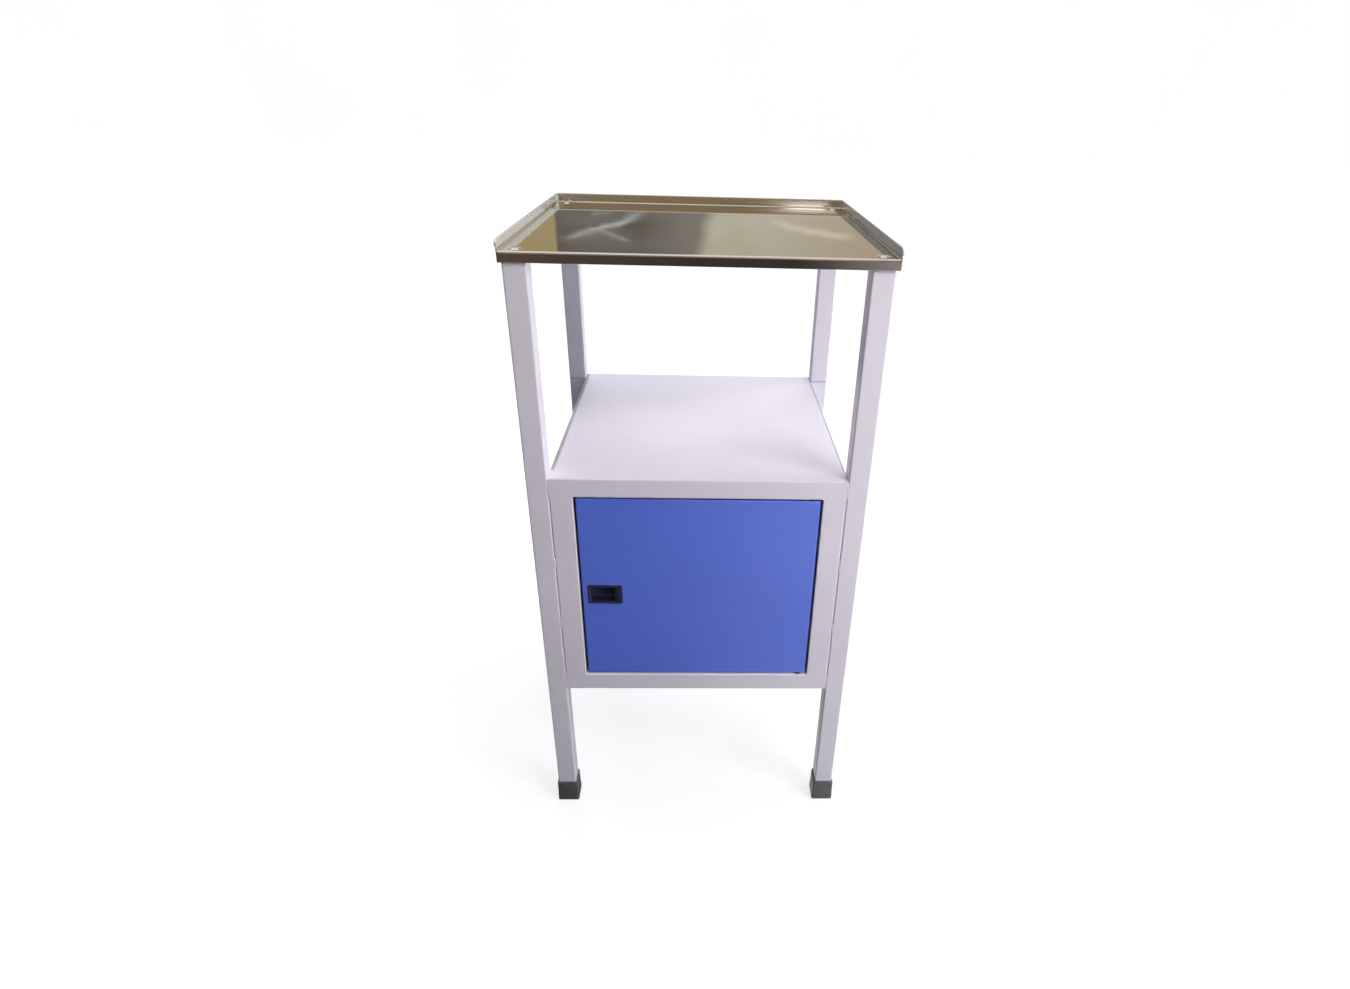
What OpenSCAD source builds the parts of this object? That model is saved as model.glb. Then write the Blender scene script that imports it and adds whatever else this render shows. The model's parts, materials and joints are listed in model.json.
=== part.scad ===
// Hospital bedside locker. A stainless tray stands on four square-tube legs over an open
// compartment, and a folded sheet-steel cabinet with one inset door is welded between the legs.
// The origin is the centre of the footprint on the floor. The front faces -Y. Sizes are in mm.

/* [Frame] */
// Width over the outside of the legs
frame_w = 400; // [360:5:450]
// Depth over the outside of the legs
frame_d = 400; // [340:5:450]
// Side of the square leg tube
leg_w = 25; // [22:1:30]
// Wall thickness of the leg tube
leg_wall = 1.2; // [0.9:0.1:2]
// Height of the plastic shoe on each leg
shoe_h = 35; // [20:1:50]

/* [Tray] */
// Height of the tray's floor above the ground
tray_h = 764; // [700:1:850]
// Height of the raised rim above the tray's floor
rim_h = 11; // [8:1:20]
// Depth of the front flange, which is turned down
flange_h = 11; // [11:1:20]
// Overhang of the tray past the legs on every side
tray_over = 4; // [3.5:0.5:8]

/* [Cabinet] */
// Height of the shelf, which is the cabinet's top face
shelf_h = 517; // [480:1:600]
// Height of the cabinet's underside
base_h = 208; // [120:1:240]
// Thickness of the folded sheet
sheet = 1; // [0.8:0.1:1.2]
// Height of the rail above the door
top_rail_h = 24; // [20:1:40]
// Height of the rail below the door
bottom_rail_h = 25; // [20:1:40]
// Width of each stile beside the door
stile_w = 28; // [24:1:36]
// Depth of the returns around the door opening
return_d = 18; // [17:1:24]

/* [Door] */
// Gap all round the door
door_gap = 2; // [1.8:0.1:3]
// Depth of the door pan
door_t = 17; // [16:1:20]
// Distance of the door's face behind the face of its frame
setback = 1; // [1:0.5:3]
// Distance of the pivot axis in from the door's right edge
pivot_in = 10; // [9:0.5:12]
// Distance of the pivot axis behind the door's face
pivot_back = 5; // [4.5:0.5:5]
// Radius of the pivot pins
pin_r = 3; // [2.5:0.5:3]

/* [Pull] */
// Width of the flush pull's bezel
pull_w = 43; // [36:1:60]
// Height of the flush pull's bezel
pull_h = 27; // [22:1:40]
// Distance from the door's left edge to the bezel
pull_edge = 7.5; // [7:0.5:12]
// Height of the middle of the pull above the ground
pull_mid_h = 359; // [320:1:380]

/* [Hidden] */
$fn = 48;
EPS = 0.01;

// Frame
half_w = frame_w / 2;
half_d = frame_d / 2;
leg_x = half_w - leg_w / 2;
leg_y = half_d - leg_w / 2;
leg_r = leg_wall + 0.8;
shoe_base = 4;
shoe_top_w = leg_w + 3.4;
shoe_foot_w = leg_w + 5.4;

// Tray
tray_t = 1;
tray_under = tray_h - tray_t;
tray_x = half_w + tray_over;
tray_y = half_d + tray_over;
hem_h = 6;
hem_t = 2 * tray_t;
tray_bend = 2;
bearer_h = 10;
plate_t = 3;
screw_r = 2.5;
screw_head_r = 4.5;
screw_head_h = 2.2;
screw_len = 14;
dimple_d = 1.2;
dimple_r = 7;
dimple_floor_r = 5.6;
screw_seat = tray_h - dimple_d;
fit_gap = 0.05;

// Cabinet
cab_x = half_w - leg_w;
front_y = -half_d;
bend_r = sheet + 1;
flange_w = 12;
rear_flange_h = 15;
open_x = cab_x - stile_w;
open_low = base_h + bottom_rail_h;
open_high = shelf_h - top_rail_h;
web_low = base_h + sheet;
web_high = shelf_h - sheet;
web_y = half_d - bend_r;

// Door
door_x = open_x - door_gap;
door_low = open_low + door_gap;
door_high = open_high - door_gap;
door_y = front_y + setback;
door_back_y = door_y + door_t;
lip_w = 10;
pivot_x = door_x - pivot_in;
pivot_y = door_y + pivot_back;
run_gap = 0.3;
bush_r = pin_r + 1;
bush_flange_r = pin_r + 2;
bush_flange_t = door_gap - run_gap;
pad_t = 3;
pad_w = 27;
bracket_t = 3;
bracket_w = 24;
bracket_leg = 30;
collar_r = pivot_back - sheet - 0.2;

// Door stop and magnetic catch
strip_w = 25;
strip_y = door_back_y + 4;
buffer_r = 4.5;
catch_x = -door_x + lip_w / 2;
catch_z = open_high - 38;
catch_w = 12;
catch_h = 30;
catch_d = 14;
ear_h = 8;
ear_t = 3;
pole_t = 1;
pole_h = 18;
magnet_w = 4;

// Flush pull
pull_x = -door_x + pull_edge + pull_w / 2;
bezel_t = 1.2;
cup_w = pull_w - 5;
cup_h = pull_h - 5;
cup_d = 13;
cup_wall = 1.2;
finger_lip = 6;

// Colours
PAINT = [0.85, 0.84, 0.88];
BLUE = [0.29, 0.37, 0.72];
STAINLESS = [0.68, 0.65, 0.57];
BRIGHT_STEEL = [0.78, 0.78, 0.76];
PVC = [0.22, 0.22, 0.23];
BLACK = [0.08, 0.08, 0.09];
NYLON = [0.92, 0.91, 0.86];
FERRITE = [0.25, 0.24, 0.24];

// ---------- shared shapes ----------

// A rectangle with round corners, centred on the origin.
module rounded_rect(w, h, r) {
    square([w - 2 * r, h], center = true);
    square([w, h - 2 * r], center = true);
    for (sx = [-1, 1], sy = [-1, 1]) {
        translate([sx * (w / 2 - r), sy * (h / 2 - r)]) circle(r);
    }
}

// A rectangle with round corners, given by its low and high corners.
module rounded_span(low, high, r) {
    translate((low + high) / 2) rounded_rect(high[0] - low[0], high[1] - low[1], r);
}

// The outline of sheet folded into a closed ring, which callers cut open.
module folded_ring(low, high, t, r) {
    difference() {
        rounded_span(low, high, r);
        rounded_span(low + [t, t], high - [t, t], r - t);
    }
}

// A box given by its low and high corners.
module span(low, high) {
    translate(low) cube(high - low);
}

// Extrudes an outline drawn in Y and Z along X, centred on X = 0.
module along_x(length) {
    rotate([90, 0, 90]) linear_extrude(length, center = true) children();
}

// Extrudes an outline drawn in X and Z along Y, from y0 to y1.
module along_y(y0, y1) {
    translate([0, y1, 0]) rotate([90, 0, 0]) linear_extrude(y1 - y0) children();
}

// A round hole or pin along Z, from z0 to z1.
module pin_along_z(r, z0, z1) {
    translate([0, 0, z0]) cylinder(h = z1 - z0, r = r);
}

// The upright pivot axis of the door.
module at_pivot() {
    translate([pivot_x, pivot_y, 0]) children();
}

// The middle of every leg.
module at_legs() {
    for (sx = [-1, 1], sy = [-1, 1]) {
        translate([sx * leg_x, sy * leg_y, 0]) children();
    }
}

// ---------- legs, shoes and tray bearers ----------

module leg(sx, sy) {
    color(PAINT)
    translate([sx * leg_x, sy * leg_y, shoe_base])
    linear_extrude(tray_under - shoe_base)
    difference() {
        rounded_rect(leg_w, leg_w, leg_r);
        rounded_rect(leg_w - 2 * leg_wall, leg_w - 2 * leg_wall, leg_r - leg_wall);
    }
}

// A plate welded into the leg just below the tray's dimple, tapped for the tray's screw.
module leg_plate(sx, sy) {
    plate_w = leg_w - 2 * leg_wall - 0.4;
    color(BRIGHT_STEEL)
    translate([sx * leg_x, sy * leg_y, tray_under - dimple_d - plate_t])
    difference() {
        linear_extrude(plate_t) rounded_rect(plate_w, plate_w, leg_r - leg_wall);
        pin_along_z(screw_r + fit_gap, -1, plate_t + 1);
    }
}

// One pair of the shoe's flared sides, as a prism along Y.
module shoe_flare() {
    along_y(-shoe_foot_w, shoe_foot_w)
    polygon([
        [-shoe_foot_w / 2, 0], [shoe_foot_w / 2, 0],
        [shoe_top_w / 2, shoe_h], [-shoe_top_w / 2, shoe_h]
    ]);
}

module shoe(sx, sy) {
    color(PVC)
    translate([sx * leg_x, sy * leg_y, 0])
    difference() {
        intersection() {
            shoe_flare();
            rotate([0, 0, 90]) shoe_flare();
        }
        translate([0, 0, shoe_base]) linear_extrude(shoe_h) rounded_rect(leg_w, leg_w, leg_r);
    }
}

// A flat rectangular tube between two leg tops, along X.
module bearer(length) {
    color(PAINT)
    translate([0, 0, tray_under - bearer_h / 2])
    along_x(length)
    difference() {
        rounded_rect(leg_w, bearer_h, leg_r);
        rounded_rect(leg_w - 2 * leg_wall, bearer_h - 2 * leg_wall, leg_r - leg_wall);
    }
}

// ---------- tray ----------

// The tray's outline from the front, and from the side, as one solid block. The inset is 0 for
// the outer face and the sheet's thickness for the inner face.
module tray_block(inset) {
    wall_x = tray_x - tray_t - inset;
    wall_y = tray_y - tray_t - inset;
    low = tray_under + inset;
    high = tray_h + rim_h - 1;
    r = tray_bend - inset;
    intersection() {
        along_y(-tray_y + tray_bend, tray_y)
        rounded_span([-wall_x, low], [wall_x, high + 4 * r], r);
        along_x(2 * tray_x)
        rounded_span([-tray_y - 4 * r, low], [wall_y, high + 4 * r], r);
        span([-tray_x, -tray_y, tray_under], [tray_x, tray_y, high]);
    }
}

// The closed hem along the top of a rim, drawn across the rim with its outer face at 0.
module hem_profile() {
    top = tray_h + rim_h;
    translate([0, top - hem_h]) square([hem_t, hem_h - hem_t / 2]);
    translate([hem_t / 2, top - hem_t / 2]) circle(hem_t / 2);
}

module tray_side_rim() {
    along_y(-tray_y, tray_y) translate([-tray_x, 0]) hem_profile();
    span(
        [-tray_x + tray_t, -tray_y, tray_h - tray_bend],
        [-tray_x + hem_t, -tray_y + tray_bend + EPS, tray_h + rim_h - hem_h / 2]
    );
}

module tray_front_flange() {
    low = tray_h - flange_h;
    along_x(2 * (tray_x - tray_t))
    difference() {
        folded_ring([-tray_y, low - 10], [-tray_y + 20, tray_h], tray_t, tray_bend);
        translate([-tray_y + tray_bend, low - 20]) square([40, flange_h + 40]);
        translate([-tray_y - 1, low - 20]) square([40, 20]);
    }
}

// The cone of a pressed dimple that sinks a screw's head, with its mouth at height z.
module dimple(z, extra) {
    translate([0, 0, z - dimple_d])
    cylinder(h = dimple_d + EPS, r1 = dimple_floor_r + extra, r2 = dimple_r + extra);
}

module tray_top() {
    color(STAINLESS)
    difference() {
        union() {
            difference() {
                tray_block(0);
                tray_block(tray_t);
            }
            tray_side_rim();
            mirror([1, 0, 0]) tray_side_rim();
            along_x(2 * tray_x) translate([tray_y, 0]) mirror([1, 0]) hem_profile();
            tray_front_flange();
            at_legs() dimple(tray_under, tray_t / 2);
        }
        at_legs() {
            dimple(tray_h, 0);
            pin_along_z(screw_r + 0.25, screw_seat - 2 * tray_t, tray_h);
        }
    }
}

// A low domed screw with a cross recess, its head on the floor of a dimple.
module tray_screw() {
    dome_r = (screw_head_r * screw_head_r + screw_head_h * screw_head_h) / (2 * screw_head_h);
    slot_w = 1.1;
    slot_len = 5;
    slot_deep = 1.3;
    difference() {
        intersection() {
            translate([0, 0, screw_seat + screw_head_h - dome_r]) sphere(dome_r);
            pin_along_z(screw_head_r, screw_seat, screw_seat + 2 * screw_head_h);
        }
        for (turn = [0, 90]) {
            translate([0, 0, screw_seat + screw_head_h])
            rotate([0, 0, turn]) cube([slot_len, slot_w, 2 * slot_deep], center = true);
        }
    }
    pin_along_z(screw_r, screw_seat - screw_len, screw_seat);
}

module tray_screws() {
    color(BRIGHT_STEEL) at_legs() tray_screw();
}

// ---------- cabinet panels ----------

// The shelf or the floor, drawn in Y and Z: a flat sheet with a rail folded at the front,
// a return behind the rail, and a short flange at the rear. Drawn for a rail that hangs down.
module deck_profile(rail_h) {
    difference() {
        folded_ring([front_y, -rail_h], [half_d, 0], sheet, bend_r);
        translate([front_y + return_d, -rail_h - 1])
        square([frame_d, rail_h + 1 - rear_flange_h]);
    }
}

// A deck is the full width between the legs, and its return lies between the stiles.
module deck(rail_h) {
    difference() {
        union() {
            along_x(2 * cab_x) deck_profile(rail_h);
            for (sx = [-1, 1]) {
                span(
                    [min(sx * open_x, sx * cab_x), front_y, -rail_h],
                    [max(sx * open_x, sx * cab_x), front_y + sheet, -rail_h + bend_r]
                );
            }
        }
        for (sx = [-1, 1]) {
            span(
                [min(sx * open_x, sx * (cab_x + 1)), front_y + sheet, -rail_h - 1],
                [max(sx * open_x, sx * (cab_x + 1)), front_y + return_d + 1, -rail_h + bend_r]
            );
        }
        at_pivot() pin_along_z(bush_r, -rail_h - 1, -rail_h + sheet + 1);
    }
}

module shelf_panel() {
    color(PAINT) translate([0, 0, shelf_h]) deck(top_rail_h);
}

module floor_panel() {
    color(PAINT) translate([0, 0, base_h]) mirror([0, 0, 1]) deck(bottom_rail_h);
}

// The left side: a web with narrow flanges under the shelf and on the floor, a stile folded
// round to its return at the front, and a flange for the back panel at the rear.
module side_panel() {
    color(PAINT) {
        along_y(-web_y, web_y)
        difference() {
            folded_ring([-cab_x, web_low], [-cab_x + 2 * flange_w, web_high], sheet, bend_r);
            translate([-cab_x + flange_w, 0]) square([2 * flange_w, 2 * shelf_h]);
        }
        translate([0, 0, open_low])
        linear_extrude(open_high - open_low)
        difference() {
            folded_ring([-cab_x, front_y], [-open_x, front_y + 2 * return_d], sheet, bend_r);
            translate([-cab_x - 1, front_y + return_d]) square([stile_w + 2, 2 * return_d]);
        }
        translate([0, 0, base_h + rear_flange_h])
        linear_extrude(shelf_h - base_h - 2 * rear_flange_h)
        difference() {
            folded_ring([-cab_x, half_d - 40], [-cab_x + 40, half_d], sheet, bend_r);
            translate([-cab_x + rear_flange_h, half_d - 41]) square([40, 42]);
            translate([-cab_x - 1, half_d - 41]) square([42, 41 - bend_r - 1]);
        }
    }
}

module side_panel_left() {
    side_panel();
}

module side_panel_right() {
    mirror([1, 0, 0]) side_panel();
}

module back_panel() {
    color(PAINT)
    span(
        [-cab_x + bend_r, half_d - 2 * sheet, base_h + bend_r],
        [cab_x - bend_r, half_d - sheet, shelf_h - bend_r]
    );
}

// ---------- door pivots in the frame ----------

// A pad welded on a return, with a plain hole for the bush, drawn on a return at height 0. Its
// front edge is chamfered where the return bends up into the rail.
module pivot_pad() {
    pad_y = front_y + sheet;
    chamfer = bend_r - sheet;
    color(PAINT)
    difference() {
        translate([open_x - pad_w / 2, 0, 0])
        along_x(pad_w)
        polygon([
            [pad_y + chamfer, 0], [front_y + return_d - sheet, 0],
            [front_y + return_d - sheet, pad_t], [pad_y, pad_t], [pad_y, chamfer]
        ]);
        at_pivot() pin_along_z(bush_r, -1, pad_t + 1);
    }
}

module pivot_pad_upper() {
    translate([0, 0, open_high + sheet]) pivot_pad();
}

module pivot_pad_lower() {
    translate([0, 0, open_low - sheet]) mirror([0, 0, 1]) pivot_pad();
}

// A flanged bush with its flange in the gap below the upper return.
module pivot_bush() {
    color(BLACK)
    difference() {
        union() {
            pin_along_z(bush_flange_r, -bush_flange_t, 0);
            pin_along_z(bush_r, -EPS, sheet + pad_t);
        }
        pin_along_z(pin_r + fit_gap, -bush_flange_t - 1, sheet + pad_t + 1);
    }
}

module pivot_bush_upper() {
    at_pivot() translate([0, 0, open_high]) pivot_bush();
}

module pivot_bush_lower() {
    at_pivot() translate([0, 0, open_low]) mirror([0, 0, 1]) pivot_bush();
}

// ---------- door stop and magnetic catch ----------

// An angle welded behind the left stile's return, with a window for the catch.
module door_stop_strip() {
    window_w = magnet_w + 2 * pole_t + 2;
    window_h = pole_h + 2;
    low_x = -open_x - 2 * sheet;
    color(PAINT)
    difference() {
        translate([0, 0, open_low + 6])
        linear_extrude(open_high - open_low - 12)
        difference() {
            folded_ring([low_x, strip_y - 40], [low_x + 60, strip_y + sheet], sheet, bend_r);
            translate([low_x + strip_w, strip_y - 50]) square([60, 60]);
            translate([low_x - 1, strip_y - 50]) square([80, 31]);
            translate([low_x + bend_r, strip_y - 50]) square([80, 50]);
        }
        translate([catch_x, strip_y, catch_z]) cube([window_w, 6, window_h], center = true);
        for (side = [-1, 1]) {
            translate([catch_x, strip_y, catch_z + side * (catch_h + ear_h) / 2])
            rotate([90, 0, 0]) cylinder(h = 6, r = 1.5 + fit_gap, center = true);
        }
    }
}

module door_buffers() {
    color(PVC)
    for (z = [open_low + 38, open_high - 90]) {
        translate([catch_x, strip_y, z])
        rotate([90, 0, 0]) cylinder(h = strip_y - door_back_y - run_gap, r = buffer_r);
    }
}

module catch_housing() {
    back_y = strip_y + sheet;
    pocket_w = magnet_w + 2 * pole_t;
    color(NYLON)
    translate([catch_x, 0, catch_z])
    difference() {
        union() {
            span([-catch_w / 2, back_y, -catch_h / 2], [catch_w / 2, back_y + catch_d, catch_h / 2]);
            span(
                [-catch_w / 2, back_y, -catch_h / 2 - ear_h],
                [catch_w / 2, back_y + ear_t, catch_h / 2 + ear_h]
            );
        }
        span(
            [-pocket_w / 2, back_y - 1, -pole_h / 2],
            [pocket_w / 2, back_y + catch_d - 2, pole_h / 2]
        );
        for (side = [-1, 1]) {
            translate([0, back_y, side * (catch_h + ear_h) / 2])
            rotate([90, 0, 0]) cylinder(h = 4 * ear_t, r = 1.5 + fit_gap, center = true);
        }
    }
}

module catch_magnet() {
    color(FERRITE)
    span(
        [catch_x - magnet_w / 2, strip_y - 1, catch_z - pole_h / 2],
        [catch_x + magnet_w / 2, strip_y + sheet + catch_d - 2, catch_z + pole_h / 2]
    );
}

module catch_pole_plates() {
    color(BRIGHT_STEEL)
    for (side = [-1, 1]) {
        translate([catch_x + side * (magnet_w + pole_t) / 2, 0, catch_z])
        span(
            [-pole_t / 2, door_back_y + run_gap + 0.1, -pole_h / 2],
            [pole_t / 2, strip_y + sheet + catch_d - 2, pole_h / 2]
        );
    }
}

module catch_screws() {
    head_y = strip_y + sheet + ear_t;
    color(BRIGHT_STEEL)
    for (side = [-1, 1]) {
        translate([catch_x, head_y, catch_z + side * (catch_h + ear_h) / 2]) {
            rotate([90, 0, 0]) cylinder(h = sheet + ear_t + 1, r = 1.5);
            rotate([-90, 0, 0])
            difference() {
                cylinder(h = 1.8, r = 2.9);
                translate([0, 0, 1.8]) cube([4, 0.8, 1.6], center = true);
            }
        }
    }
}

// ---------- door ----------

// The door's outline from above and from the side, as one solid block.
module door_block(inset) {
    intersection() {
        translate([0, 0, door_low + inset])
        linear_extrude(door_high - door_low - 2 * inset)
        rounded_span(
            [-door_x + inset, door_y + inset], [door_x - inset, door_back_y - inset], bend_r - inset
        );
        along_x(2 * (door_x - inset))
        rounded_span(
            [door_y + inset, door_low + inset], [door_back_y - inset, door_high - inset], bend_r - inset
        );
    }
}

module door_skin() {
    color(BLUE)
    difference() {
        door_block(0);
        door_block(sheet);
        span(
            [-door_x + lip_w, door_back_y - 2 * sheet, door_low + lip_w],
            [door_x - lip_w, door_back_y + 1, door_high - lip_w]
        );
        translate([pull_x, door_y, pull_mid_h]) cube([cup_w + 0.4, 4, cup_h + 0.4], center = true);
        at_pivot() pin_along_z(pin_r + fit_gap, door_low - 1, door_low + sheet + 1);
        at_pivot() pin_along_z(pin_r + fit_gap, door_high - sheet - 1, door_high + 1);
    }
}

// A hat section that runs up the inside of the door's face.
module door_stiffener() {
    face_y = door_y + sheet;
    hat_w = 24;
    hat_d = 12;
    foot_w = 12;
    color(BLUE)
    translate([0, 0, door_low + lip_w])
    linear_extrude(door_high - door_low - 2 * lip_w)
    union() {
        difference() {
            folded_ring([-hat_w / 2, face_y - 6], [hat_w / 2, face_y + hat_d], sheet, bend_r);
            translate([-hat_w, face_y - 12]) square([2 * hat_w, 12]);
        }
        for (side = [-1, 1]) {
            translate([side * (hat_w + foot_w) / 2, face_y + sheet / 2])
            square([foot_w + EPS, sheet], center = true);
        }
    }
}

// An angle inside the door's corner that carries a pivot pin, drawn for the upper corner. Its
// edges are rounded a little more than the inside of the door's bends.
module door_bracket(top_z) {
    right_x = door_x - sheet;
    face_y = door_y + sheet;
    back_y = door_back_y - sheet;
    edge_r = bend_r - sheet + 0.2;
    color(BRIGHT_STEEL)
    difference() {
        intersection() {
            union() {
                span([right_x - bracket_w, face_y, top_z - bracket_t], [right_x, back_y, top_z]);
                span([right_x - bracket_t, face_y, top_z - bracket_leg], [right_x, back_y, top_z]);
            }
            translate([0, 0, top_z - bracket_leg])
            linear_extrude(bracket_leg)
            rounded_span([right_x - 2 * bracket_w, face_y], [right_x, back_y], edge_r);
            along_x(2 * door_x)
            rounded_span([face_y, top_z - 2 * bracket_leg], [back_y, top_z], edge_r);
        }
        at_pivot() pin_along_z(pin_r + fit_gap, top_z - bracket_t - 1, top_z + 1);
    }
}

module door_bracket_upper() {
    door_bracket(door_high - sheet);
}

module door_bracket_lower() {
    mirror([0, 0, 1]) door_bracket(-door_low - sheet);
}

// A pivot pin with a collar under its bracket, drawn for the upper corner.
module pivot_pin(top_z) {
    tip_z = top_z + sheet + door_gap + sheet + pad_t + 0.5;
    collar_z = top_z - bracket_t;
    color(BRIGHT_STEEL)
    at_pivot() {
        pin_along_z(pin_r, collar_z - 5, tip_z);
        pin_along_z(collar_r, collar_z - 3, collar_z);
    }
}

module pivot_pin_upper() {
    pivot_pin(door_high - sheet);
}

module pivot_pin_lower() {
    mirror([0, 0, 1]) pivot_pin(-door_low - sheet);
}

// A flush pull: a bezel on the door's face and a cup behind it. The bezel overhangs the cup on
// the right, which is where the fingers hook.
module pull_housing() {
    color(BLACK)
    translate([pull_x, door_y, pull_mid_h])
    difference() {
        union() {
            along_y(-bezel_t, 0) rounded_rect(pull_w, pull_h, 2);
            along_y(-EPS, cup_d) rounded_rect(cup_w, cup_h, 2);
        }
        along_y(0, cup_d - cup_wall)
        rounded_rect(cup_w - 2 * cup_wall, cup_h - 2 * cup_wall, 1);
        along_y(-bezel_t - 1, 1)
        translate([-finger_lip / 2, 0])
        rounded_rect(cup_w - 2 * cup_wall - finger_lip, cup_h - 2 * cup_wall, 1);
    }
}

// Two spring-steel angles that hold the cup against the back of the door's face.
module pull_clips() {
    clip_w = 12;
    clip_t = 0.8;
    clip_reach = 7;
    face_y = door_y + sheet;
    color(BRIGHT_STEEL)
    translate([pull_x, face_y, pull_mid_h])
    for (flip = [0, 1]) {
        mirror([0, 0, flip])
        translate([0, 0, cup_h / 2]) {
            span([-clip_w / 2, 0, 0], [clip_w / 2, clip_t, clip_reach]);
            span([-clip_w / 2, 0, 0], [clip_w / 2, clip_reach, clip_t]);
        }
    }
}

// ---------- nodes ----------

leg(-1, -1);  // leg_front_left
leg(1, -1);  // leg_front_right
leg(-1, 1);  // leg_rear_left
leg(1, 1);  // leg_rear_right
leg_plate(-1, -1);  // leg_plate_front_left
leg_plate(1, -1);  // leg_plate_front_right
leg_plate(-1, 1);  // leg_plate_rear_left
leg_plate(1, 1);  // leg_plate_rear_right
shoe(-1, -1);  // shoe_front_left
shoe(1, -1);  // shoe_front_right
shoe(-1, 1);  // shoe_rear_left
shoe(1, 1);  // shoe_rear_right
translate([0, -leg_y, 0]) bearer(2 * cab_x);  // bearer_front
translate([0, leg_y, 0]) bearer(2 * cab_x);  // bearer_rear
translate([-leg_x, 0, 0]) rotate([0, 0, 90]) bearer(frame_d - 2 * leg_w);  // bearer_left
translate([leg_x, 0, 0]) rotate([0, 0, 90]) bearer(frame_d - 2 * leg_w);  // bearer_right
tray_top();
tray_screws();
shelf_panel();
floor_panel();
side_panel_left();
side_panel_right();
back_panel();
pivot_pad_upper();
pivot_pad_lower();
pivot_bush_upper();
pivot_bush_lower();
door_stop_strip();
door_buffers();
catch_housing();
catch_magnet();
catch_pole_plates();
catch_screws();
door_skin();
door_stiffener();
door_bracket_upper();
door_bracket_lower();
pivot_pin_upper();
pivot_pin_lower();
pull_housing();
pull_clips();
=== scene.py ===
import json
import math
import random

import bmesh
import bpy
from mathutils import Matrix, Vector


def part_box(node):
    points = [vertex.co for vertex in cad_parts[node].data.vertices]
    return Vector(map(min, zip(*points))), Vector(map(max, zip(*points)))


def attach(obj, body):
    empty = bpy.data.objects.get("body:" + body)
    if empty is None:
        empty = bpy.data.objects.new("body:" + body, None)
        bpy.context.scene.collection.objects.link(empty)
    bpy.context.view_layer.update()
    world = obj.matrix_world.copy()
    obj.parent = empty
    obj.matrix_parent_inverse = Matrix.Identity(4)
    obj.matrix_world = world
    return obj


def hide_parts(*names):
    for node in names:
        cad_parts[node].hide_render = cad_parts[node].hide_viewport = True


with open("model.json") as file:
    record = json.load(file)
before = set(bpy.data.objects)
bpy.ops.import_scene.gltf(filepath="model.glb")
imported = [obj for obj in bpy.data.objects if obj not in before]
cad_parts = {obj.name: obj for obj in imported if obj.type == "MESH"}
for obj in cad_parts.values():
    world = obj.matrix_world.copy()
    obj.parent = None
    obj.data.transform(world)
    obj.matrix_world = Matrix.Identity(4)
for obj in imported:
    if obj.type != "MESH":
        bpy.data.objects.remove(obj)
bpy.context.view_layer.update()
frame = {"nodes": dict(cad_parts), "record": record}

NODES = frame["nodes"]
LOCKER = "locker"
DOOR = "door"
MM = 0.001
random.seed(7)


# ---------- places taken from the CAD nodes ----------

TRAY_LOW, TRAY_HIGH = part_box("tray_top")
CAB_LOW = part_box("floor_panel")[0]
CAB_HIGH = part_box("shelf_panel")[1]
DOOR_LOW, DOOR_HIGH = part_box("door_skin")
PULL_LOW, PULL_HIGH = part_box("pull_housing")
LEG_LOW, LEG_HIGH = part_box("leg_front_right")

SIDES = {"left": -1, "right": 1}
ENDS = {"front": -1, "rear": 1}
LEG_W = LEG_HIGH.x - LEG_LOW.x
LEG_X = (LEG_LOW.x + LEG_HIGH.x) / 2
LEG_Y = -(LEG_LOW.y + LEG_HIGH.y) / 2
SHEET = 1.0 * MM
FLOOR_Z = LEG_HIGH.z + SHEET
TRAY_UNDERSIDE = LEG_HIGH.z
CAB_REAR = CAB_HIGH.y
REAR_FLANGE = 15 * MM
DOOR_GAP = 2 * MM
OPENING_X = DOOR_HIGH.x + DOOR_GAP
OPENING_LOW, OPENING_HIGH = DOOR_LOW.z - DOOR_GAP, DOOR_HIGH.z + DOOR_GAP

# Finish of the tray's rims and dimples, and width of the painted shade line beside the shelf
RIM_GRIND = 0.10
RIM_METAL = 0.5
RIM_DULL = (0.73, 0.73, 0.76)
DIMPLE_DARK = (0.22, 0.21, 0.18)
SHELF_SHADE_WIDTH = 2.4 * MM


# ---------- material building ----------

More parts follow.
